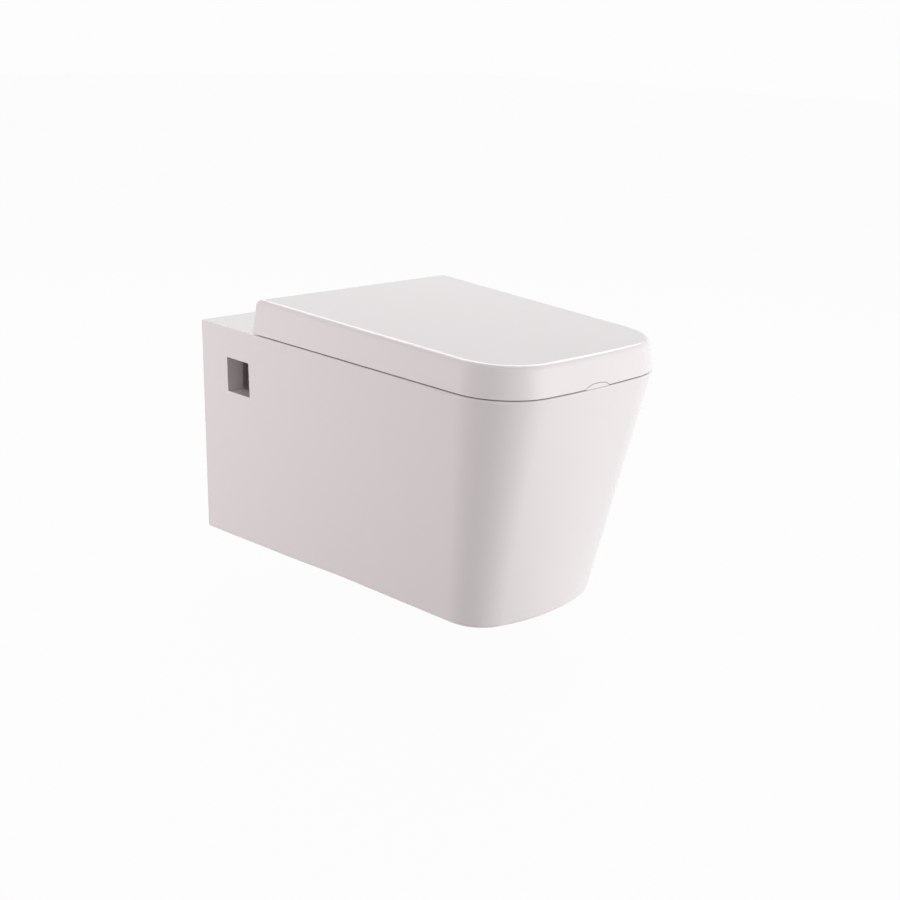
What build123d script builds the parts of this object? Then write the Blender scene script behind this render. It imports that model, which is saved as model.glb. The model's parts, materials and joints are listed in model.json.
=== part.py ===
from build123d import *
import math
import os

os.makedirs("parts", exist_ok=True)

# Frame: wall face at y = 0, front towards -Y, z = 0 at the height of the two wall studs
# Wall interface
stud_pitch = 180.0
rim_above_studs = 75.0
inlet_below_rim = 40.0
outlet_below_rim = 175.0
stud_diameter = 12.0
stud_shank_diameter = 11.6
stud_behind_wall = 30.0
flush_pipe_diameter = 45.0
inlet_bore_diameter = 55.0
spigot_diameter = 102.0
spigot_length = 40.0

# Pan body
pan_width = 360.0
pan_projection = 561.6
pan_height = 312.0
rear_rise = 4.0
middle_rise = 5.2
nose_rise = 1.2
side_taper = 0.0516
corner_radius = 79.4
bow_radius = 1147.0
foot_width = 353.2
foot_projection = 507.0
foot_taper = 0.13
foot_corner_radius = 58.6
foot_bow_radius = 247.0
foot_fillet = 8.0
rim_fillet = 2.0
bowl_lip_fillet = 8.0
china_wall = 11.0
deck_thickness = 13.0
rear_wall = 14.0
step_start = -165.0
step_end = -270.0

# Bowl and trapway
bowl_wall = 9.0
bowl_back = -178.0
bowl_front = -500.0
bowl_half_width = 118.0
# Depth below the rim, half width, back, front, front corner, bow and back corner of each level
bowl_levels = [
    (0.0, bowl_half_width, bowl_back, bowl_front, 95.0, 260.0, 60.0),
    (70.0, 112.0, -184.0, -484.0, 90.0, 240.0, 55.0),
    (150.0, 88.0, -206.0, -424.0, 70.0, 180.0, 42.0),
    (215.0, 52.0, -226.0, -344.0, 42.0, 110.0, 28.0),
    (262.0, 34.0, -238.0, -304.0, 25.0, 80.0, 18.0),
]
trap_bore_radius = 33.0
trap_floor_below_rim = 248.0
weir_below_rim = 128.0
trap_start = -284.0
trap_rise_start = -203.0
trap_rise_end = -146.0
trap_fall_start = -99.0
trap_fall_end = -53.0
trap_bend = 44.0
jet_radius = 20.0

# Rear opening round the outlet, and the side windows beside the studs
rear_opening_width = 250.0
rear_opening_top = 108.0
rear_opening_bottom = 288.0
rear_opening_corner = 18.0
window_back = -54.0
window_front = -100.0
window_top = 42.0
window_bottom = 90.0
window_frame = 8.0
window_depth = 25.0
boss_size = 56.0
boss_depth = 46.0
stud_hole_diameter = 18.0

# How far cutting shapes run past the part
reach = 50.0

# Seat hinge
hinge_pitch = 155.0
axis_y = -96.0
axis_above_rim = 28.0
lug_width = 16.0
lug_radius = 9.5
knuckle_length = 41.2
pin_diameter = 8.0
damper_diameter = 14.0
hinge_bolt_diameter = 8.0
deck_hole_diameter = 16.0
base_length = 28.0
base_width = 40.0
base_thickness = 4.0
base_corner = 6.0
gasket_thickness = 1.0

# Lid and seat
skirt_gap = 1.5
lid_height_back = 46.6
lid_height_front = 38.5
lid_rear = -112.0
lid_wall = 4.0
lid_inset_bottom = 0.7
lid_inset_top = 8.0
lid_fillet = 8.0
# Half width and height of the finger notch's arch, from its foot to its crown
notch_arch = [(21.0, 0.0), (16.5, 2.7), (8.0, 4.8), (0.0, 5.2)]
notch_back = 15.0
seat_thickness = 16.0
seat_bottom = 8.0
seat_skirt_clearance = 3.0
seat_rear = -131.0
seat_opening_back = -212.0
seat_opening_front = -478.0
seat_opening_half_width = 103.0
seat_opening_corner = 84.0
seat_opening_bow = 200.0
seat_opening_rear_corner = 60.0
seat_edge_radius = 5.0
seat_rear_corner = 12.0
cutout_inner_x = 26.0
cutout_outer_x = 71.0
arm_bottom = 10.0
arm_root = 6.0
# Rear edge of a seat arm's profile, as steps in Y and Z from the hinge axis
seat_arm_edge = [(-8.5, 4.0), (0.0, 0.0), (5.5, -7.6), (-2.0, -14.0), (-10.0, -18.0)]
tab_width = 18.0
tab_depth = 14.0
knuckle_end = 4.0
pin_end = 14.0
socket_depth = 7.5
key_flat = 3.0
damper_socket = 12.5
pin_chamfer = 0.6
foot_chamfer = 1.0
bolt_chamfer = 0.8
bolt_grip = 16.0
bolt_below_rim = 46.0
bush_flange = 5.0
bush_flange_radius = 14.0
bush_below_rim = 4.0
nut_radius = 9.0
nut_height = 12.0
wing_reach = 22.0
wing_thickness = 5.0
wing_corner = 3.0
wing_drop = 2.0
buffer_width = 14.0
buffer_length = 28.0
buffer_stem = 7.0
buffer_stem_radius = 3.0
buffer_corner = 5.0
rear_buffer_inset = 42.0
rear_buffer_y = -240.0
front_buffer_inset = 108.0
front_buffer_back = 35.6
lid_buffer_back = 56.6
tab_low = 0.5

# Wall fixings
sleeve_flange = 3.0
flange_radius = 14.0
washer_thickness = 2.5
stud_nut_flats = 19.0
stud_nut_height = 10.0
stud_nut_round = 1.12
stud_in_front = 32.0
stud_chamfer = 1.0
seal_depth = 36.0
seal_set_back = 2.0

# Clearances
tab_gap = 0.5
seal_ease = 0.1
running_gap = 0.05
side_gap = 0.3
rest_gap = 0.3
sleeve_gap = 0.3
end_play = 0.2
socket_relief = 0.5

# Places worked out from the sizes above
rim_z = rim_above_studs
axis_z = rim_z + axis_above_rim
post_x = hinge_pitch / 2
lug_inner_x = post_x - lug_width / 2
lug_outer_x = post_x + lug_width / 2
pin_radius = pin_diameter / 2
damper_radius = damper_diameter / 2
sides = {"left": -1, "right": 1}
rear_buffer_x = pan_width / 2 - rear_buffer_inset
front_buffer_x = pan_width / 2 - front_buffer_inset
front_buffer_y = front_buffer_back - pan_projection
lid_buffer_y = lid_buffer_back - pan_projection
seat_buffer_places = {
    "front_left": (-front_buffer_x, front_buffer_y),
    "front_right": (front_buffer_x, front_buffer_y),
    "rear_left": (-rear_buffer_x, rear_buffer_y),
    "rear_right": (rear_buffer_x, rear_buffer_y),
}


def plan_face(z, half_width, taper, front, corner, bow, back=0.0, rear_corner=0.0):
    """Plan outline: tapering straight sides, a bowed front and rounded corners."""
    nose_half = half_width + taper * front
    corner_y = front + bow - math.sqrt(bow**2 - nose_half**2)
    half_front = half_width + taper * corner_y
    half_back = half_width + taper * back
    left_front = (-half_front, corner_y)
    right_front = (half_front, corner_y)
    edges = Polyline(left_front, (-half_back, back), (half_back, back), right_front)
    edges += ThreePointArc(right_front, (0, front), left_front)
    face = make_face(edges)
    face = fillet(face.vertices().sort_by(Axis.Y)[:2], corner)
    if rear_corner:
        face = fillet(face.vertices().sort_by(Axis.Y)[-2:], rear_corner)
    return Pos(0, 0, z) * face


def rim_face(z, inset, back=0.0, rear_corner=0.0):
    """The pan's plan at the rim, moved in by an inset."""
    half = pan_width / 2 - inset
    front = inset - pan_projection
    corner = corner_radius - inset
    return plan_face(z, half, side_taper, front, corner, bow_radius, back, rear_corner)


def foot_face(z, inset):
    """The pan's plan at the underside, moved in by an inset."""
    half = foot_width / 2 - inset
    front = inset - foot_projection
    corner = foot_corner_radius - inset
    return plan_face(z, half, foot_taper, front, corner, foot_bow_radius)


def block(x0, x1, y0, y1, z0, z1):
    """Box between two corners."""
    centre = Pos((x0 + x1) / 2, (y0 + y1) / 2, (z0 + z1) / 2)
    return centre * Box(x1 - x0, y1 - y0, z1 - z0)


def rod_x(radius, x0, x1, y=axis_y, z=axis_z):
    """Cylinder along X between two stations, on the hinge axis by default."""
    place = Pos((x0 + x1) / 2, y, z) * Rot(0, 90, 0)
    return place * Cylinder(radius, abs(x1 - x0))


def rod_y(radius, y0, y1, x=0.0, z=0.0):
    """Cylinder along Y between two stations."""
    place = Pos(x, (y0 + y1) / 2, z) * Rot(90, 0, 0)
    return place * Cylinder(radius, abs(y1 - y0))


def rod_z(radius, z0, z1, x=0.0, y=0.0):
    """Upright cylinder between two heights."""
    return Pos(x, y, (z0 + z1) / 2) * Cylinder(radius, abs(z1 - z0))


def below_underside(lift):
    """What lies under the pan's gently stepped underside, raised by a lift."""
    foot_z = rim_z - pan_height + lift
    rear_z, middle_z, nose_z = foot_z + rear_rise, foot_z + middle_rise, foot_z + nose_rise
    slope = (middle_z - nose_z) / (step_end + foot_projection)
    far_y = -pan_projection - reach
    far_z = middle_z + slope * (far_y - step_end)
    deep_z = foot_z - reach
    step = Spline([(step_start, rear_z), (step_end, middle_z)], tangents=[(-1, 0), (-1, -slope)])
    front = Polyline((step_end, middle_z), (far_y, far_z), (far_y, deep_z), (reach, deep_z))
    rear = Polyline((reach, deep_z), (reach, rear_z), (step_start, rear_z))
    return extrude(Plane.YZ * make_face(step + front + rear), pan_width, both=True)


def is_foot_edge(edge):
    """Whether an edge runs round the outline of the underside."""
    middle = edge.center()
    low = middle.Z < rim_z - pan_height + middle_rise + 1 and middle.Y < -1
    across = abs(middle.X) < 20 and middle.Y > bowl_front
    return low and not across and abs(edge.tangent_at(0.5).Z) < 0.5


def pan_body():
    """Outside of the pan: rim plan lofted to the narrower underside."""
    body = loft([foot_face(rim_z - pan_height, 0), rim_face(rim_z, 0)], ruled=True)
    body -= below_underside(0)
    body = fillet([e for e in body.edges().group_by(Axis.Z)[-1] if e.center().Y < -1], rim_fillet)
    return fillet([e for e in body.edges() if is_foot_edge(e)], foot_fillet)


def inside_skirt():
    """Everything within the inner face of the side and front walls."""
    foot_z = rim_z - pan_height
    return loft([foot_face(foot_z, china_wall), rim_face(rim_z, china_wall)], ruled=True)


def rear_slab():
    """Everything in the thickness of the rear wall, wider than the pan."""
    return block(-pan_width, pan_width, -rear_wall, reach, -pan_height, rim_z + reach)


def above_height(z):
    """Everything over a height, wider than the pan."""
    return block(-pan_width, pan_width, -pan_projection - reach, reach, z, rim_z + reach)


def pan_hollow():
    """Hollow between the outside wall and the bowl."""
    room = inside_skirt() - below_underside(china_wall)
    return room - above_height(rim_z - deck_thickness) - rear_slab()


def bowl(grow):
    """Bowl shape, or its outside when grown by the bowl's wall."""
    lowest = bowl_levels[-1][0]
    faces = []
    for depth, half, back, front, corner, bow, rear in bowl_levels:
        z = rim_z - depth - (grow if depth == lowest else 0)
        plan = (half + grow, 0, front - grow, corner + grow, bow + grow, back + grow, rear + grow)
        faces.append(plan_face(z, *plan))
    return loft(faces[::-1])


def trapway(radius):
    """Tube from the round end of the sump, over the weir and down to the outlet."""
    floor_z = rim_z - trap_floor_below_rim
    weir_z = rim_z - weir_below_rim
    out_z = rim_z - outlet_below_rim
    points = [
        (0, trap_start, floor_z),
        (0, trap_rise_start, floor_z),
        (0, trap_rise_end, weir_z),
        (0, trap_fall_start, weir_z),
        (0, trap_fall_end, out_z),
        (0, 0, out_z),
    ]
    start = Plane(points[0], x_dir=(1, 0, 0), z_dir=(0, 1, 0))
    tube = sweep(start * Circle(radius), FilletPolyline(*points, radius=trap_bend))
    return tube + Pos(*points[0]) * Sphere(radius)


def spigot():
    """Round tail at the outlet that the waste connector slides over."""
    return rod_y(spigot_diameter / 2, -spigot_length, 0, z=rim_z - outlet_below_rim)


def window_span(side, depth):
    """Stations along X from just outside the pan's side to a depth inside it."""
    outer, inner = side * (pan_width / 2 + 1), side * (pan_width / 2 - depth)
    return min(outer, inner), max(outer, inner)


def china_walls():
    """The casting before its passages: shell, bowl, trapway, bosses and window frames."""
    outside = pan_body()
    body = outside - pan_hollow() + (bowl(bowl_wall) & outside)
    body += trapway(trap_bore_radius + bowl_wall)
    body += spigot()
    in_z = rim_z - inlet_below_rim
    body += rod_y(inlet_bore_diameter / 2 + bowl_wall, bowl_back - 5, 0, z=in_z) & outside
    frame_y = (window_front - window_frame, window_back + window_frame)
    frame_z = (rim_z - window_bottom - window_frame, rim_z - window_top + window_frame)
    taper = side_taper * -(window_front + window_back) / 2
    for side in sides.values():
        x = side * stud_pitch / 2
        body += block(x - boss_size / 2, x + boss_size / 2, -boss_depth, 0, -boss_size / 2, boss_size / 2)
        body += block(*window_span(side, window_depth + taper), *frame_y, *frame_z) & outside
    return body


def casting():
    """The whole vitreous china casting with its bowl, passages, holes and windows."""
    out_z = rim_z - outlet_below_rim
    in_z = rim_z - inlet_below_rim
    body = china_walls()
    half = rear_opening_width / 2
    hole = block(-half, half, -rear_wall - 1, 1, rim_z - rear_opening_bottom, rim_z - rear_opening_top)
    hole = fillet(hole.edges().filter_by(Axis.Y), rear_opening_corner)
    body -= hole - spigot()
    body -= bowl(0)
    lip = [e for e in body.edges().group_by(Axis.Z)[-1] if bowl_front - 1 < e.center().Y < bowl_back + 1]
    body = fillet([e for e in lip if abs(e.center().X) < bowl_half_width + 1], bowl_lip_fillet)
    body -= trapway(trap_bore_radius)
    body -= rod_y(spigot_diameter / 2 - bowl_wall, bowl_wall - spigot_length, 1, z=out_z)
    body -= rod_y(inlet_bore_diameter / 2, -boss_depth, 1, z=in_z)
    body -= rod_y(jet_radius, bowl_back - jet_radius, 0, z=in_z)
    window_z = (rim_z - window_bottom, rim_z - window_top)
    for side in sides.values():
        body -= rod_y(stud_hole_diameter / 2, -boss_depth - 1, 1, x=side * stud_pitch / 2)
        body -= block(*window_span(side, 2 * window_depth), window_front, window_back, *window_z)
        under = rim_z - deck_thickness - 1
        body -= rod_z(deck_hole_diameter / 2, under, rim_z + 1, side * post_x, axis_y)
    return body


def china_pieces():
    """The casting divided where its hollows can stay open between simple pieces."""
    whole = casting()
    over_deck = above_height(rim_z - deck_thickness)
    bowl_room = bowl(bowl_wall) - over_deck
    trap_room = trapway(trap_bore_radius + bowl_wall) + spigot()
    inside = inside_skirt()
    room = pan_hollow()
    rest = whole - bowl_room - trap_room
    lining = (rest & inside) - room
    plate = lining & below_underside(china_wall)
    upper = lining - below_underside(china_wall)
    pieces = {
        "pan": rest - inside,
        "deck": upper - rear_slab(),
        "back_wall": upper & rear_slab(),
        "underside": plate,
        "bowl": whole & bowl_room,
        "trapway": (whole - bowl_room) & trap_room,
    }
    fittings = rest & room
    half_boss = boss_size / 2
    for word, side in sides.items():
        x = side * stud_pitch / 2
        boss_room = block(x - half_boss, x + half_boss, -boss_depth, 0, -half_boss, half_boss)
        near, far = x + side * half_boss, side * pan_width
        frame_room = block(min(near, far), max(near, far), -pan_projection, 0, -pan_height, rim_z)
        pieces[f"stud_boss_{word}"] = fittings & boss_room
        pieces[f"window_frame_{word}"] = fittings & frame_room
        fittings -= boss_room
        fittings -= frame_room
    pieces["inlet_tube"] = fittings
    return pieces


def lid_inset(height):
    """How far the lid's drafted side stands in from the rim's edge at a height above the rim."""
    share = (height - skirt_gap) / (lid_height_back - skirt_gap)
    return lid_inset_bottom + share * (lid_inset_top - lid_inset_bottom)


def lid_loft(low, high, wall):
    """Drafted lid block between two heights above the rim, moved in by a wall."""
    back = lid_rear - wall
    low_face = rim_face(rim_z + low, lid_inset(low) + wall, back)
    high_face = rim_face(rim_z + high, lid_inset(high) + wall, back)
    return loft([low_face, high_face], ruled=True)


def above_lid(drop):
    """What lies above the lid's sloping top, lowered by a drop."""
    slope = (lid_height_back - lid_height_front) / (pan_projection + lid_rear)
    back_y, front_y = lid_rear + reach, -pan_projection - reach
    back_z = rim_z + lid_height_back - drop + slope * reach
    front_z = rim_z + lid_height_front - drop - slope * reach
    top = rim_z + 2 * lid_height_back
    profile = Polyline((back_y, back_z), (front_y, front_z), (front_y, top), (back_y, top), close=True)
    return extrude(Plane.YZ * make_face(profile), pan_width, both=True)


def notch_prism(gap, low):
    """Arch across the front of the lid's lower edge, made smaller by a gap."""
    foot_half = notch_arch[0][0] - gap
    share = foot_half / notch_arch[0][0]
    right = [(x * share, rim_z + skirt_gap + z - gap) for x, z in notch_arch]
    left = [(-x, z) for x, z in right[:-1]]
    points = left + right[::-1]
    arch = Spline(points)
    foot = Polyline(points[-1], (foot_half, rim_z + low), (-foot_half, rim_z + low), points[0])
    front = Plane(origin=(0, -pan_projection + notch_back, 0), x_dir=(1, 0, 0), z_dir=(0, -1, 0))
    return extrude(front * make_face(arch + foot), 2 * notch_back)


def knuckle_span(side, outboard):
    """Stations along X of the hinge knuckle beside a post."""
    near = lug_outer_x + side_gap if outboard else lug_inner_x - side_gap
    far = near + knuckle_length if outboard else near - knuckle_length
    return side * near, side * far


def lid_arm(side):
    """Knuckle behind the lid's rear wall, with the gusset that carries it."""
    x0, x1 = knuckle_span(side, True)
    corners = [
        (lid_rear - lid_wall / 2, rim_z + arm_bottom),
        (lid_rear - lid_wall / 2, axis_z + lug_radius),
        (axis_y, axis_z + lug_radius - running_gap),
        (axis_y, axis_z - lug_radius + running_gap),
        (axis_y - lug_radius, rim_z + arm_bottom),
    ]
    profile = make_face(Polyline(*corners, close=True))
    arm = extrude(Plane.YZ * profile, knuckle_length)
    return Pos(min(x0, x1), 0, 0) * arm + rod_x(lug_radius, x0, x1)


def lid():
    """Wrap-over lid shell with drafted skirt, finger notch and hinge knuckles."""
    shell = lid_loft(skirt_gap, lid_height_back + 4, 0) - above_lid(0)
    shell = fillet(shell.faces().sort_by(Axis.Z)[-1].edges(), lid_fillet)
    shell -= lid_loft(skirt_gap - 1, lid_height_back + 4, lid_wall) - above_lid(lid_wall)
    shell -= notch_prism(0, 0)
    skin_z = rim_z + lid_height_back - lid_wall
    for side in sides.values():
        near, far = side * cutout_inner_x, side * cutout_outer_x
        shell -= block(min(near, far), max(near, far), lid_rear - lid_wall - 1, lid_rear + 1, rim_z, skin_z)
        shell += lid_arm(side)
    near, far = knuckle_span(-1, True)
    shell -= rod_x(damper_radius + running_gap, near + socket_relief, far + knuckle_end)
    near, far = knuckle_span(1, True)
    shell -= rod_x(pin_radius + running_gap, near - socket_relief, far - pin_end)
    return shell


def seat_outline(z):
    """Outer plan of the seat ring, clear of the lid's skirt."""
    inset = lid_inset(seat_bottom + seat_thickness) + lid_wall + seat_skirt_clearance
    return rim_face(z, inset, seat_rear, seat_rear_corner)


def seat_arm(side):
    """Arm from the seat ring back to its knuckle on the hinge axis."""
    x0, x1 = knuckle_span(side, False)
    ring_y = seat_rear - arm_root
    low, top = rim_z + arm_bottom, rim_z + seat_bottom + seat_thickness
    corners = [(ring_y, low), (ring_y, top), (lid_rear - lid_wall, top)]
    corners += [(axis_y + y, axis_z + z) for y, z in seat_arm_edge]
    profile = make_face(Polyline(*corners, close=True))
    arm = extrude(Plane.YZ * profile, knuckle_length)
    return Pos(min(x0, x1), 0, 0) * arm + rod_x(lug_radius, x0, x1)


def seat_tab():
    """Finger tab that fills the lid's notch, with its neck up to the ring."""
    rim_plan = rim_face(rim_z, lid_inset_bottom + side_gap, seat_opening_back)
    tab = notch_prism(tab_gap, tab_low) & extrude(rim_plan, seat_bottom)
    front = -pan_projection + lid_wall + tab_depth / 2
    top = rim_z + seat_bottom + 1
    return tab + block(-tab_width / 2, tab_width / 2, front, front + tab_depth, rim_z + seat_bottom / 2, top)


def seat_ring():
    """Seat ring with two hinge arms and a finger tab in the lid's notch."""
    low = rim_z + seat_bottom
    ring = extrude(seat_outline(low), seat_thickness)
    opening = (seat_opening_half_width, 0, seat_opening_front, seat_opening_corner, seat_opening_bow)
    hole = plan_face(low, *opening, seat_opening_back, seat_opening_rear_corner)
    ring -= extrude(hole, seat_thickness)
    ring = fillet(ring.faces().sort_by(Axis.Z)[-1].edges(), seat_edge_radius)
    ring += seat_tab()
    for side in sides.values():
        ring += seat_arm(side)
    near, far = knuckle_span(1, False)
    ring -= rod_x(damper_radius + running_gap, near + socket_relief, far + knuckle_end)
    near, far = knuckle_span(-1, False)
    ring -= rod_x(pin_radius + running_gap, near - socket_relief, far - pin_end)
    for x, y in seat_buffer_places.values():
        ring -= rod_z(buffer_stem_radius + running_gap, low - 1, low + buffer_stem, x, y)
    return ring


def seat_buffer(x, y):
    """Rubber rest under the seat, with a stem in the ring."""
    low, top = rim_z + rest_gap, rim_z + seat_bottom
    half_x, half_y = buffer_width / 2, buffer_length / 2
    pad = block(x - half_x, x + half_x, y - half_y, y + half_y, low, top)
    pad = fillet(pad.edges().filter_by(Axis.Z), buffer_corner)
    return pad + rod_z(buffer_stem_radius, low, top + buffer_stem - end_play, x, y)


def lid_buffer(x, y):
    """Rubber rest between the lid's inside and the seat."""
    low = rim_z + seat_bottom + seat_thickness + rest_gap
    post = rod_z(buffer_width / 2, low, rim_z + lid_height_back, x, y)
    return post - above_lid(lid_wall)


def keyed_rod(radius, flat, x0, x1):
    """Rod on the hinge axis with a flat above and below."""
    keep = block(min(x0, x1), max(x0, x1), axis_y - radius, axis_y + radius, axis_z - flat, axis_z + flat)
    return rod_x(radius, x0, x1) & keep


def hinge_base(side):
    """Foot plate and lug that carry the hinge pins of one side."""
    x = side * post_x
    low = rim_z + gasket_thickness
    back, front = axis_y + base_length / 2, axis_y - base_length / 2
    foot = block(x - base_width / 2, x + base_width / 2, front, back, low, low + base_thickness)
    foot = fillet(foot.edges().filter_by(Axis.Z), base_corner)
    foot = chamfer(foot.faces().sort_by(Axis.Z)[-1].edges(), foot_chamfer)
    lug = block(x - lug_width / 2, x + lug_width / 2, axis_y - lug_radius, axis_y + lug_radius, low, axis_z)
    lug += rod_x(lug_radius, x - lug_width / 2, x + lug_width / 2)
    body = foot + lug
    body -= rod_z(hinge_bolt_diameter / 2 + running_gap, low - 1, low + bolt_grip, x, axis_y)
    outer = (side * lug_outer_x, side * (lug_outer_x - socket_depth))
    inner = (side * lug_inner_x, side * (lug_inner_x + socket_depth))
    plain, keyed = (inner, outer) if side < 0 else (outer, inner)
    body -= rod_x(pin_radius + running_gap, *plain)
    body -= keyed_rod(pin_radius + running_gap, key_flat + running_gap, *keyed)
    return body


def hinge_gasket(side):
    """Thin pad between the foot plate and the china."""
    x = side * post_x
    back, front = axis_y + base_length / 2, axis_y - base_length / 2
    pad = block(x - base_width / 2, x + base_width / 2, front, back, rim_z, rim_z + gasket_thickness)
    pad = fillet(pad.edges().filter_by(Axis.Z), base_corner)
    over = rim_z + gasket_thickness + 1
    return pad - rod_z(hinge_bolt_diameter / 2 + sleeve_gap, rim_z - 1, over, x, axis_y)


def hinge_bolt(side):
    """Threaded rod down from the lug through the deck."""
    top = rim_z + gasket_thickness + bolt_grip - end_play
    rod = rod_z(hinge_bolt_diameter / 2, rim_z - bolt_below_rim, top, side * post_x, axis_y)
    return chamfer(rod.edges(), bolt_chamfer)


def hinge_bush(side):
    """Rubber bush that centres the bolt in the deck hole, with a flange below."""
    x = side * post_x
    under = rim_z - deck_thickness
    bush = rod_z(bush_flange_radius, under - bush_flange, under, x, axis_y)
    bush += rod_z(deck_hole_diameter / 2 - sleeve_gap, under - 1, rim_z - bush_below_rim, x, axis_y)
    bore = hinge_bolt_diameter / 2 + sleeve_gap
    return bush - rod_z(bore, under - bush_flange - 1, rim_z, x, axis_y)


def hinge_nut(side):
    """Plastic wing nut under the deck."""
    x = side * post_x
    top = rim_z - deck_thickness - bush_flange
    low = top - nut_height
    back, front = axis_y + wing_thickness / 2, axis_y - wing_thickness / 2
    wing = block(x - wing_reach, x + wing_reach, front, back, low, top - wing_drop)
    nut = rod_z(nut_radius, low, top, x, axis_y) + fillet(wing.edges().filter_by(Axis.Y), wing_corner)
    return nut - rod_z(hinge_bolt_diameter / 2 + running_gap, low - 1, top + 1, x, axis_y)


def hinge_pin(side, outboard):
    """Plain pin from a post's lug into a knuckle."""
    way = 1 if outboard else -1
    face = lug_outer_x if outboard else lug_inner_x
    near = face - way * (socket_depth - end_play)
    far = abs(knuckle_span(side, outboard)[1]) - way * (pin_end + 1)
    return chamfer(rod_x(pin_radius, side * near, side * far).edges(), pin_chamfer)


def damper_body(side, outboard):
    """Closed damper barrel inside a knuckle, with a socket for its shaft."""
    x0, x1 = knuckle_span(side, outboard)
    way = 1 if outboard else -1
    near = side * (abs(x0) + way * side_gap)
    far = side * (abs(x1) - way * (knuckle_end + end_play))
    barrel = chamfer(rod_x(damper_radius, near, far).edges(), pin_chamfer)
    mouth = side * (abs(x0) - way)
    return barrel - rod_x(pin_radius + running_gap, mouth, side * (abs(x0) + way * damper_socket))


def damper_shaft(side, outboard):
    """Damper shaft, keyed in the post's lug and round in its barrel."""
    way = 1 if outboard else -1
    face = lug_outer_x if outboard else lug_inner_x
    start = face - way * (socket_depth - end_play)
    end = abs(knuckle_span(side, outboard)[0]) + way * (damper_socket - side_gap)
    key = keyed_rod(pin_radius, key_flat, side * start, side * face)
    return key + rod_x(pin_radius, side * face, side * end)


def inlet_seal():
    """Rubber seal for the flush pipe, inside the inlet."""
    z = rim_z - inlet_below_rim
    seal = rod_y(inlet_bore_diameter / 2 - running_gap, -seal_depth, -seal_set_back, z=z)
    seal -= rod_y(flush_pipe_diameter / 2 + seal_ease, -seal_depth - 1, 0, z=z)
    return seal


def wall_stud(side):
    """Threaded stud from the wall frame through the pan's boss."""
    x = side * stud_pitch / 2
    rod = rod_y(stud_shank_diameter / 2, -boss_depth - stud_in_front, 0, x=x)
    rod += rod_y(stud_diameter / 2, 0, stud_behind_wall, x=x)
    ends = rod.edges().filter_by(GeomType.CIRCLE).sort_by(Axis.Y)
    return chamfer([ends[0], ends[-1]], stud_chamfer)


def stud_sleeve(side):
    """Plastic sleeve that keeps the stud off the china."""
    x = side * stud_pitch / 2
    sleeve = rod_y(stud_hole_diameter / 2 - sleeve_gap, -boss_depth, 0, x=x)
    face = -boss_depth - sleeve_flange
    sleeve += rod_y(flange_radius, face, -boss_depth, x=x)
    return sleeve - rod_y(stud_diameter / 2 + sleeve_gap, face - 1, 1, x=x)


def stud_washer(side):
    """Flat steel washer against the sleeve's flange."""
    x = side * stud_pitch / 2
    face = -boss_depth - sleeve_flange
    washer = rod_y(flange_radius, face - washer_thickness, face, x=x)
    return washer - rod_y(stud_diameter / 2 + sleeve_gap, face - washer_thickness - 1, face + 1, x=x)


def stud_nut(side):
    """Hexagon nut on the stud, reached through the side window."""
    x = side * stud_pitch / 2
    face = -boss_depth - sleeve_flange - washer_thickness
    plane = Plane(origin=(x, face, 0), x_dir=(1, 0, 0), z_dir=(0, -1, 0))
    nut = extrude(plane * RegularPolygon(stud_nut_flats / 2, 6, major_radius=False), stud_nut_height)
    nut &= rod_y(stud_nut_flats / 2 * stud_nut_round, face - stud_nut_height, face, x=x)
    bore = stud_shank_diameter / 2 + running_gap
    return nut - rod_y(bore, face - stud_nut_height - 1, face + 1, x=x)


parts = china_pieces() | {"inlet_seal": inlet_seal(), "lid": lid(), "seat_ring": seat_ring()}
for word, side in sides.items():
    parts[f"wall_stud_{word}"] = wall_stud(side)
    parts[f"stud_sleeve_{word}"] = stud_sleeve(side)
    parts[f"stud_washer_{word}"] = stud_washer(side)
    parts[f"stud_nut_{word}"] = stud_nut(side)
    parts[f"hinge_gasket_{word}"] = hinge_gasket(side)
    parts[f"hinge_base_{word}"] = hinge_base(side)
    parts[f"hinge_bolt_{word}"] = hinge_bolt(side)
    parts[f"hinge_bush_{word}"] = hinge_bush(side)
    parts[f"hinge_nut_{word}"] = hinge_nut(side)
    parts[f"lid_buffer_{word}"] = lid_buffer(side * front_buffer_x, lid_buffer_y)
for word, (x, y) in seat_buffer_places.items():
    parts[f"seat_buffer_{word}"] = seat_buffer(x, y)
parts["seat_pin"] = hinge_pin(-1, False)
parts["lid_pin"] = hinge_pin(1, True)
parts["seat_damper_body"] = damper_body(1, False)
parts["seat_damper_shaft"] = damper_shaft(1, False)
parts["lid_damper_body"] = damper_body(-1, True)
parts["lid_damper_shaft"] = damper_shaft(-1, True)

if __name__ == "__main__":
    for name, solid in parts.items():
        export_step(solid, f"parts/{name}.step")
        if len(solid.solids()) != 1 or not solid.is_valid:
            print(name, len(solid.solids()), round(solid.volume), solid.is_valid)
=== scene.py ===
import bpy
import json
import math
from mathutils import Matrix, Vector


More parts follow.
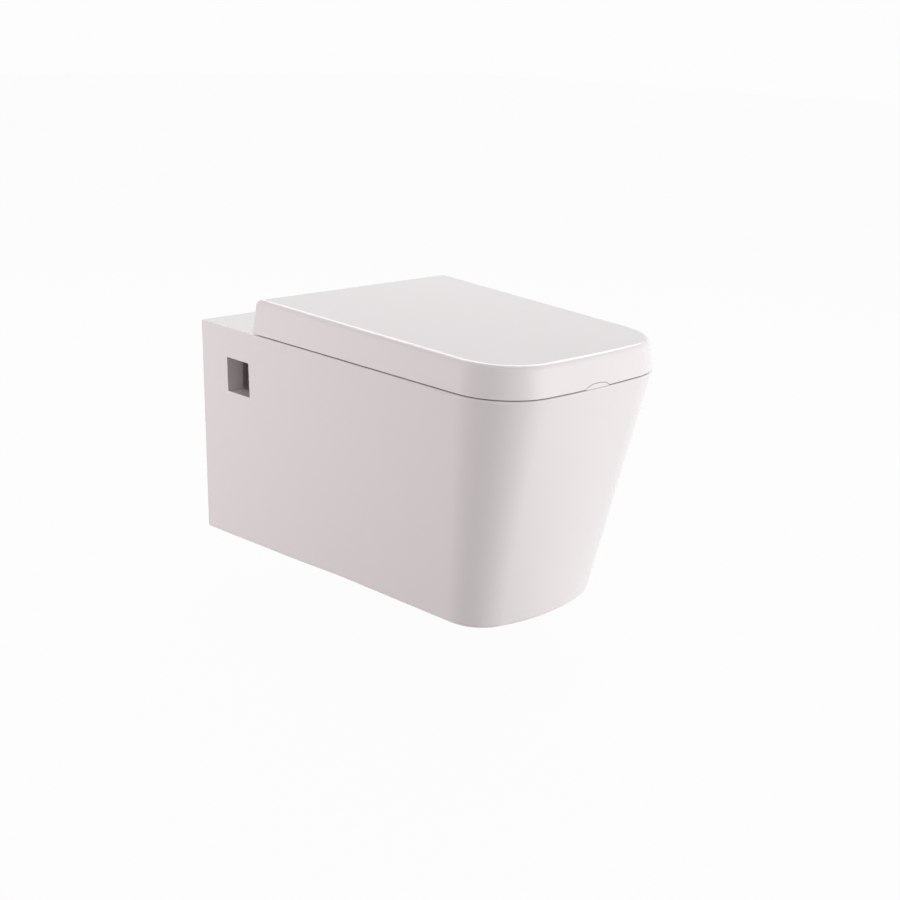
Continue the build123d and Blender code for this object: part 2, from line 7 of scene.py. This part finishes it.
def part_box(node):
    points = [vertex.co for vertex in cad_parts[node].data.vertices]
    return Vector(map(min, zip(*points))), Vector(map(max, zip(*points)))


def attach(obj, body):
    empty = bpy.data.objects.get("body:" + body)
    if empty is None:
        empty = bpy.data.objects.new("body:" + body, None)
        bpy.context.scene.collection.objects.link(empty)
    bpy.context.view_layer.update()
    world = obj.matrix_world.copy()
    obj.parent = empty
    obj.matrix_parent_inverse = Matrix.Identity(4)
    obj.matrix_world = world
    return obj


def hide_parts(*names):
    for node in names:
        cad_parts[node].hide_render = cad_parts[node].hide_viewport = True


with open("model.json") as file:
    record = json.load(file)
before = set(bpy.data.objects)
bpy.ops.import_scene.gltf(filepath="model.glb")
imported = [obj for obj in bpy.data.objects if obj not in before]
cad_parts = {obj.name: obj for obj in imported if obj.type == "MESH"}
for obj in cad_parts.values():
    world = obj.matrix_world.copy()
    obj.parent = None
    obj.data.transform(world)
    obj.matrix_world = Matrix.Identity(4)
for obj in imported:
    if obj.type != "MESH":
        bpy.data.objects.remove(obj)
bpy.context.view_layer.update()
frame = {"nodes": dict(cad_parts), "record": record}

# The picture's viewpoint: a lens about 52 mm long, 43.7 degrees round to the left
# and 18.3 degrees up
CAMERA_PLACE = Vector((-1.12866, -1.49605, 0.47293))
CAMERA_LENS = 51.63
CAMERA_YAW = 0.76249
CAMERA_PITCH = 0.31882
CAMERA_ROLL = 0.03676

FLOOR_HEIGHT = -0.325

# Radius and depth, from the seal's middle, of its ribs outside and its lips inside
SEAL_PROFILE = [
    (0.0274, -0.0170), (0.0274, -0.0150), (0.0256, -0.0145), (0.0256, -0.0110),
    (0.0274, -0.0100), (0.0274, -0.0085), (0.0256, -0.0080), (0.0256, -0.0030),
    (0.0274, -0.0020), (0.0274, -0.0005), (0.0256, 0.0000), (0.0256, 0.0050),
    (0.0274, 0.0060), (0.0274, 0.0160), (0.0266, 0.0170), (0.0243, 0.0170),
    (0.0233, 0.0150), (0.0226, 0.0110), (0.0236, 0.0100), (0.0240, 0.0030),
    (0.0230, 0.0010), (0.0226, -0.0030), (0.0238, -0.0040), (0.0240, -0.0090),
    (0.0230, -0.0110), (0.0226, -0.0150), (0.0236, -0.0170), (0.0274, -0.0170),
]

LAMP_TARGET = Vector((0.0, -0.28, -0.05))

# Threads: the stud's outer radius in the wall and in the pan, the bolt's, and each
# one's depth and pitch
STUD_RADIUS = 0.00597
SHANK_RADIUS = 0.00578
STUD_THREAD_DEPTH = 0.00095
STUD_PITCH = 0.00175
BOLT_RADIUS = 0.00397
BOLT_THREAD_DEPTH = 0.00065
BOLT_PITCH = 0.00125

# Brightness of the surround as light and as seen, and of the floor as seen
SURROUND_LIGHT = 0.42
SURROUND_SEEN = 0.978
FLOOR_SEEN = 1.02
FLOOR_SEEN_SHARE = 0.94

# Where the glaze ends at the wall face, and how rough the clay is there
WIPED_BEHIND = -0.0006
CLAY_ROUGHNESS = 0.75

# Colours in linear light; the pairs are a finish's dark and light tone
LAMP_WHITE = (1.0, 1.0, 1.0)
LAMP_ROSE = (1.0, 0.945, 0.955)
SURROUND_ROSE = (1.0, 0.94, 0.95)
GLAZE = (0.805, 0.765, 0.768)
GLAZE_DEEP = (0.795, 0.752, 0.755)
BARE_CLAY = (0.66, 0.60, 0.52)
SEAT_WHITE = (0.81, 0.775, 0.779)
RUBBER = ((0.018, 0.018, 0.019), (0.03, 0.03, 0.03))
BUFFER = ((0.52, 0.52, 0.50), (0.58, 0.58, 0.56))
ZINC = ((0.55, 0.56, 0.58), (0.62, 0.63, 0.65))
STEEL = ((0.5, 0.5, 0.5), (0.56, 0.56, 0.57))
CHROME = ((0.7, 0.7, 0.72), (0.72, 0.72, 0.74))
NYLON = ((0.66, 0.64, 0.57), (0.72, 0.70, 0.64))
ACETAL = ((0.045, 0.047, 0.05), (0.06, 0.062, 0.066))


def place_camera():
    """Camera at the picture's viewpoint."""
    look = Vector((
        math.sin(CAMERA_YAW) * math.cos(CAMERA_PITCH),
        math.cos(CAMERA_YAW) * math.cos(CAMERA_PITCH),
        -math.sin(CAMERA_PITCH),
    ))
    level = Vector((math.cos(CAMERA_YAW), -math.sin(CAMERA_YAW), 0.0))
    above = level.cross(look)
    turn, tilt = math.cos(CAMERA_ROLL), math.sin(CAMERA_ROLL)
    right = turn * level + tilt * above
    up = -tilt * level + turn * above
    axes = Matrix((right, up, -look)).transposed().to_4x4()
    data = bpy.data.cameras.new("viewpoint")
    data.lens = CAMERA_LENS
    data.sensor_width = 36.0
    data.clip_start = 0.05
    data.clip_end = 60.0
    camera = bpy.data.objects.new("viewpoint", data)
    bpy.context.scene.collection.objects.link(camera)
    camera.matrix_world = Matrix.Translation(CAMERA_PLACE) @ axes
    bpy.context.scene.camera = camera


def softbox(name, place, size, power, tint, mirrored):
    """Rectangular studio lamp aimed at the pan, seen in gloss only where it says so."""
    data = bpy.data.lights.new(name, "AREA")
    data.shape = "RECTANGLE"
    data.size, data.size_y = size
    data.energy = power
    data.color = tint
    lamp = bpy.data.objects.new(name, data)
    lamp.visible_glossy = mirrored
    bpy.context.scene.collection.objects.link(lamp)
    aim = LAMP_TARGET - Vector(place)
    lamp.location = place
    lamp.rotation_euler = aim.to_track_quat("-Z", "Y").to_euler()


def seen_rays(nodes, links):
    """Mask of the rays that show the white surround: seen, mirrored and through glass."""
    path = nodes.new("ShaderNodeLightPath")
    first = nodes.new("ShaderNodeMath")
    first.operation = "MAXIMUM"
    both = nodes.new("ShaderNodeMath")
    both.operation = "MAXIMUM"
    links.new(path.outputs["Is Camera Ray"], first.inputs[0])
    links.new(path.outputs["Is Glossy Ray"], first.inputs[1])
    links.new(first.outputs["Value"], both.inputs[0])
    links.new(path.outputs["Is Transmission Ray"], both.inputs[1])
    return both.outputs["Value"]


def light_studio():
    """Soft lamps from behind left, from front right and from above, with a dim even surround."""
    softbox("lamp_left", (-2.4, 1.4, 0.1), (1.6, 1.6), 58.0, LAMP_ROSE, False)
    softbox("lamp_front", (1.0, -3.0, 0.2), (1.6, 1.6), 66.0, LAMP_WHITE, False)
    softbox("lamp_above", (1.3, 1.0, 2.0), (3.0, 1.6), 31.0, LAMP_WHITE, True)
    world = bpy.data.worlds.new("studio")
    bpy.context.scene.world = world
    world.use_nodes = True
    nodes, links = world.node_tree.nodes, world.node_tree.links
    nodes.clear()
    out = nodes.new("ShaderNodeOutputWorld")
    surround = nodes.new("ShaderNodeBackground")
    surround.inputs["Color"].default_value = (*SURROUND_ROSE, 1.0)
    surround.inputs["Strength"].default_value = SURROUND_LIGHT
    white = nodes.new("ShaderNodeBackground")
    white.inputs["Color"].default_value = (1.0, 1.0, 1.0, 1.0)
    white.inputs["Strength"].default_value = SURROUND_SEEN
    seen = seen_rays(nodes, links)
    mix = nodes.new("ShaderNodeMixShader")
    links.new(seen, mix.inputs["Fac"])
    links.new(surround.outputs["Background"], mix.inputs[1])
    links.new(white.outputs["Background"], mix.inputs[2])
    links.new(mix.outputs["Shader"], out.inputs["Surface"])


def lay_floor():
    """Plain white floor well under the hung pan."""
    bpy.ops.object.select_all(action="DESELECT")
    bpy.ops.mesh.primitive_plane_add(size=30.0, location=(0.0, -0.3, FLOOR_HEIGHT))
    floor = bpy.context.object
    floor.name = "floor"
    finish = bpy.data.materials.new("floor_white")
    finish.use_nodes = True
    nodes, links = finish.node_tree.nodes, finish.node_tree.links
    nodes.clear()
    out = nodes.new("ShaderNodeOutputMaterial")
    matt = nodes.new("ShaderNodeBsdfDiffuse")
    matt.inputs["Color"].default_value = (0.4, 0.4, 0.4, 1.0)
    bright = nodes.new("ShaderNodeEmission")
    bright.inputs["Strength"].default_value = FLOOR_SEEN
    share = nodes.new("ShaderNodeMath")
    share.operation = "MULTIPLY"
    share.inputs[1].default_value = FLOOR_SEEN_SHARE
    mix = nodes.new("ShaderNodeMixShader")
    links.new(seen_rays(nodes, links), share.inputs[0])
    links.new(share.outputs["Value"], mix.inputs["Fac"])
    links.new(matt.outputs["BSDF"], mix.inputs[1])
    links.new(bright.outputs["Emission"], mix.inputs[2])
    links.new(mix.outputs["Shader"], out.inputs["Surface"])
    floor.data.materials.append(finish)


def surface_grain():
    """Group: uneven tone and fine relief of a moulded or fired surface."""
    group = bpy.data.node_groups.new("surface_grain", "ShaderNodeTree")
    for name, value in (("Tone Size", 6.0), ("Relief Size", 300.0), ("Low", 0.1), ("High", 0.2)):
        socket = group.interface.new_socket(name, in_out="INPUT", socket_type="NodeSocketFloat")
        socket.default_value = value
    group.interface.new_socket("Tone", in_out="OUTPUT", socket_type="NodeSocketFloat")
    group.interface.new_socket("Roughness", in_out="OUTPUT", socket_type="NodeSocketFloat")
    group.interface.new_socket("Relief", in_out="OUTPUT", socket_type="NodeSocketFloat")
    nodes, links = group.nodes, group.links
    taken = nodes.new("NodeGroupInput")
    given = nodes.new("NodeGroupOutput")
    place = nodes.new("ShaderNodeTexCoord")
    tone = nodes.new("ShaderNodeTexNoise")
    tone.inputs["Detail"].default_value = 3.0
    tone.inputs["Roughness"].default_value = 0.55
    relief = nodes.new("ShaderNodeTexNoise")
    relief.inputs["Detail"].default_value = 4.0
    spread = nodes.new("ShaderNodeMapRange")
    links.new(place.outputs["Object"], tone.inputs["Vector"])
    links.new(place.outputs["Object"], relief.inputs["Vector"])
    links.new(taken.outputs["Tone Size"], tone.inputs["Scale"])
    links.new(taken.outputs["Relief Size"], relief.inputs["Scale"])
    links.new(tone.outputs["Fac"], given.inputs["Tone"])
    links.new(tone.outputs["Fac"], spread.inputs["Value"])
    spread.inputs["From Min"].default_value = 0.3
    spread.inputs["From Max"].default_value = 0.7
    links.new(taken.outputs["Low"], spread.inputs["To Min"])
    links.new(taken.outputs["High"], spread.inputs["To Max"])
    links.new(spread.outputs["Result"], given.inputs["Roughness"])
    links.new(relief.outputs["Fac"], given.inputs["Relief"])
    return group


def new_finish(name):
    """Empty node material with its shader."""
    finish = bpy.data.materials.new(name)
    finish.use_nodes = True
    shader = finish.node_tree.nodes["Principled BSDF"]
    return finish, finish.node_tree.nodes, finish.node_tree.links, shader


def grain_in(nodes, links, shader, tone_size, relief_size, low, high, depth):
    """Place the grain group in a finish and feed its roughness and relief."""
    grain = nodes.new("ShaderNodeGroup")
    grain.node_tree = GRAIN
    grain.inputs["Tone Size"].default_value = tone_size
    grain.inputs["Relief Size"].default_value = relief_size
    grain.inputs["Low"].default_value = low
    grain.inputs["High"].default_value = high
    bump = nodes.new("ShaderNodeBump")
    bump.inputs["Strength"].default_value = 1.0
    bump.inputs["Distance"].default_value = depth
    links.new(grain.outputs["Relief"], bump.inputs["Height"])
    links.new(bump.outputs["Normal"], shader.inputs["Normal"])
    links.new(grain.outputs["Roughness"], shader.inputs["Roughness"])
    return grain


def blend_colours(nodes, links, shader, mask, first, second):
    """Feed the base colour with two colours mixed by a mask."""
    mix = nodes.new("ShaderNodeMix")
    mix.data_type = "RGBA"
    mix.inputs["A"].default_value = (*first, 1.0)
    mix.inputs["B"].default_value = (*second, 1.0)
    links.new(mask, mix.inputs["Factor"])
    links.new(mix.outputs["Result"], shader.inputs["Base Color"])
    return mix


def wall_face_mask(nodes, links):
    """Mask of the face that lies against the wall, where the glaze is wiped off."""
    place = nodes.new("ShaderNodeTexCoord")
    parts = nodes.new("ShaderNodeSeparateXYZ")
    bare = nodes.new("ShaderNodeMath")
    bare.operation = "GREATER_THAN"
    bare.inputs[1].default_value = WIPED_BEHIND
    links.new(place.outputs["Object"], parts.inputs["Vector"])
    links.new(parts.outputs["Y"], bare.inputs[0])
    return bare.outputs["Value"]


def glazed_china():
    """White glaze over vitreous china, slightly wavy, wiped off at the wall face."""
    finish, nodes, links, shader = new_finish("china_glaze")
    grain = grain_in(nodes, links, shader, 5.0, 30.0, 0.19, 0.25, 0.00004)
    glaze = blend_colours(nodes, links, shader, grain.outputs["Tone"], GLAZE_DEEP, GLAZE)
    bare = wall_face_mask(nodes, links)
    clay = nodes.new("ShaderNodeMix")
    clay.data_type = "RGBA"
    clay.inputs["B"].default_value = (*BARE_CLAY, 1.0)
    links.new(bare, clay.inputs["Factor"])
    links.new(glaze.outputs["Result"], clay.inputs["A"])
    links.new(clay.outputs["Result"], shader.inputs["Base Color"])
    dull = nodes.new("ShaderNodeMix")
    dull.inputs["B"].default_value = CLAY_ROUGHNESS
    links.new(bare, dull.inputs["Factor"])
    links.new(grain.outputs["Roughness"], dull.inputs["A"])
    links.new(dull.outputs["Result"], shader.inputs["Roughness"])
    coated = nodes.new("ShaderNodeMath")
    coated.operation = "SUBTRACT"
    coated.inputs[0].default_value = 1.0
    links.new(bare, coated.inputs[1])
    links.new(coated.outputs["Value"], shader.inputs["Coat Weight"])
    shader.inputs["Coat Roughness"].default_value = 0.04
    shader.inputs["IOR"].default_value = 1.5
    return finish


def moulded_white():
    """Glossy white urea of the seat and lid."""
    finish, nodes, links, shader = new_finish("seat_urea")
    grain = grain_in(nodes, links, shader, 8.0, 90.0, 0.2, 0.26, 0.00001)
    shade = tuple(0.99 * value for value in SEAT_WHITE)
    blend_colours(nodes, links, shader, grain.outputs["Tone"], shade, SEAT_WHITE)
    shader.inputs["Coat Weight"].default_value = 0.6
    shader.inputs["Coat Roughness"].default_value = 0.05
    return finish


def plain_moulding(name, dark, light, low, high, relief_size, depth):
    """Moulded rubber or plastic with a fine skin."""
    finish, nodes, links, shader = new_finish(name)
    grain = grain_in(nodes, links, shader, 60.0, relief_size, low, high, depth)
    blend_colours(nodes, links, shader, grain.outputs["Tone"], dark, light)
    return finish


def bright_metal(name, dark, light, low, high, relief_size, depth):
    """Plated or drawn metal."""
    finish = plain_moulding(name, dark, light, low, high, relief_size, depth)
    finish.node_tree.nodes["Principled BSDF"].inputs["Metallic"].default_value = 1.0
    return finish


def only(piece):
    """Leave one piece selected and active."""
    bpy.ops.object.select_all(action="DESELECT")
    piece.select_set(True)
    bpy.context.view_layer.objects.active = piece


def settle(piece):
    """Put a piece's place into its mesh, with the object at the origin."""
    only(piece)
    bpy.ops.object.transform_apply(location=True, rotation=True, scale=True)


def cut_thread(name, node, radius, depth, pitch, along_wall):
    """Threaded rod in the place of a plain one: one helical turn, repeated and capped."""
    low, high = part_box(node)
    length = high.y - low.y if along_wall else high.z - low.z
    turns = round(length / pitch)
    pitch = length / turns
    bpy.ops.object.select_all(action="DESELECT")
    bpy.ops.mesh.primitive_cylinder_add(
        vertices=24, radius=radius, depth=pitch, end_fill_type="NOTHING")
    rod = bpy.context.object
    rod.name = name
    bpy.ops.object.mode_set(mode="EDIT")
    bpy.ops.mesh.select_all(action="DESELECT")
    bpy.ops.mesh.select_mode(type="EDGE")
    bpy.ops.object.mode_set(mode="OBJECT")
    corners = rod.data.vertices
    for edge in rod.data.edges:
        first, last = (corners[i].co for i in edge.vertices)
        edge.select = abs(first.z - last.z) > pitch / 2
    bpy.ops.object.mode_set(mode="EDIT")
    bpy.ops.mesh.subdivide(number_cuts=3)
    bpy.ops.object.mode_set(mode="OBJECT")
    for corner in rod.data.vertices:
        turn = (math.atan2(corner.co.y, corner.co.x) / math.tau + corner.co.z / pitch) % 1.0
        cut = max(0.0, 1.0 - abs(turn - 0.5) / 0.36) * depth
        corner.co.x *= 1.0 - cut / radius
        corner.co.y *= 1.0 - cut / radius
        corner.co.z += (pitch - length) / 2
    coil = rod.modifiers.new("turns", "ARRAY")
    coil.count = turns
    coil.use_relative_offset = False
    coil.use_constant_offset = True
    coil.constant_offset_displace = (0.0, 0.0, pitch)
    coil.use_merge_vertices = True
    coil.merge_threshold = pitch / 50
    only(rod)
    bpy.ops.object.modifier_apply(modifier="turns")
    bpy.ops.object.mode_set(mode="EDIT")
    bpy.ops.mesh.select_all(action="SELECT")
    bpy.ops.mesh.fill_holes(sides=0)
    bpy.ops.mesh.normals_make_consistent(inside=False)
    bpy.ops.object.mode_set(mode="OBJECT")
    bpy.ops.object.shade_smooth_by_angle(angle=math.radians(28))
    if along_wall:
        rod.rotation_euler.x = math.radians(90)
    rod.location = (low + high) / 2
    settle(rod)
    return rod


def slim_shank(rod, node, outer, shank):
    """Draw a stud in to its thinner radius on the pan's side of the wall face."""
    low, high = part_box(node)
    middle = (low + high) / 2
    for corner in rod.data.vertices:
        if corner.co.y < 0.0:
            corner.co.x = middle.x + (corner.co.x - middle.x) * shank / outer
            corner.co.z = middle.z + (corner.co.z - middle.z) * shank / outer


def turned_ring(name, centre, profile):
    """Ring turned about the wall's normal, from radius and depth pairs that close on themselves."""
    bpy.ops.object.select_all(action="DESELECT")
    bpy.ops.mesh.primitive_circle_add(vertices=72, radius=profile[0][0])
    ring = bpy.context.object
    ring.name = name
    bpy.ops.object.mode_set(mode="EDIT")
    bpy.ops.mesh.select_mode(type="EDGE")
    bpy.ops.mesh.select_all(action="SELECT")
    bpy.ops.transform.translate(value=(0.0, 0.0, profile[0][1]))
    for (radius, depth), (last_radius, last_depth) in zip(profile[1:], profile):
        bpy.ops.mesh.extrude_edges_move()
        wider = radius / last_radius
        bpy.ops.transform.resize(value=(wider, wider, 1.0))
        bpy.ops.transform.translate(value=(0.0, 0.0, depth - last_depth))
    bpy.ops.mesh.select_all(action="SELECT")
    bpy.ops.mesh.remove_doubles(threshold=0.00001)
    bpy.ops.mesh.normals_make_consistent(inside=False)
    bpy.ops.object.mode_set(mode="OBJECT")
    bpy.ops.object.shade_smooth_by_angle(angle=math.radians(35))
    ring.rotation_euler.x = math.radians(90)
    ring.location = centre
    settle(ring)
    return ring


def fit_piece(piece, node, body, slot):
    """Let a piece stand for a CAD node, ride on its body and take its slot's finish."""
    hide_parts(node)
    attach(piece, body)
    piece.data.materials.append(finishes[slot])


bpy.context.scene.view_settings.view_transform = "Standard"
place_camera()
light_studio()
lay_floor()

GRAIN = surface_grain()
finishes = {
    "china": glazed_china(),
    "seat_plastic": moulded_white(),
    "rubber": plain_moulding("black_rubber", *RUBBER, 0.5, 0.7, 900.0, 0.0002),
    "buffer_rubber": plain_moulding("buffer_rubber", *BUFFER, 0.4, 0.55, 900.0, 0.0001),
    "zinc_steel": bright_metal("zinc_plate", *ZINC, 0.22, 0.38, 700.0, 0.00002),
    "stainless": bright_metal("drawn_steel", *STEEL, 0.15, 0.3, 700.0, 0.00002),
    "chrome": bright_metal("chrome_plate", *CHROME, 0.05, 0.12, 120.0, 0.000008),
    "nylon": plain_moulding("natural_nylon", *NYLON, 0.4, 0.55, 700.0, 0.0001),
    "damper_plastic": plain_moulding("grey_acetal", *ACETAL, 0.3, 0.45, 600.0, 0.0001),
}

slot_of = {part["node"]: part["material_slot"] for part in frame["record"]["subparts"]}
for name, node in frame["nodes"].items():
    node.data.materials.clear()
    node.data.materials.append(finishes[slot_of[name]])

for side in ("left", "right"):
    stud = cut_thread(
        f"stud_thread_{side}", f"wall_stud_{side}",
        STUD_RADIUS, STUD_THREAD_DEPTH, STUD_PITCH, True)
    slim_shank(stud, f"wall_stud_{side}", STUD_RADIUS, SHANK_RADIUS)
    fit_piece(stud, f"wall_stud_{side}", "pan", "zinc_steel")
    bolt = cut_thread(
        f"bolt_thread_{side}", f"hinge_bolt_{side}",
        BOLT_RADIUS, BOLT_THREAD_DEPTH, BOLT_PITCH, False)
    fit_piece(bolt, f"hinge_bolt_{side}", "pan", "zinc_steel")

seal_low, seal_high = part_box("inlet_seal")
seal_centre = (seal_low + seal_high) / 2
seal = turned_ring("lipped_seal", seal_centre, SEAL_PROFILE)
fit_piece(seal, "inlet_seal", "pan", "rubber")
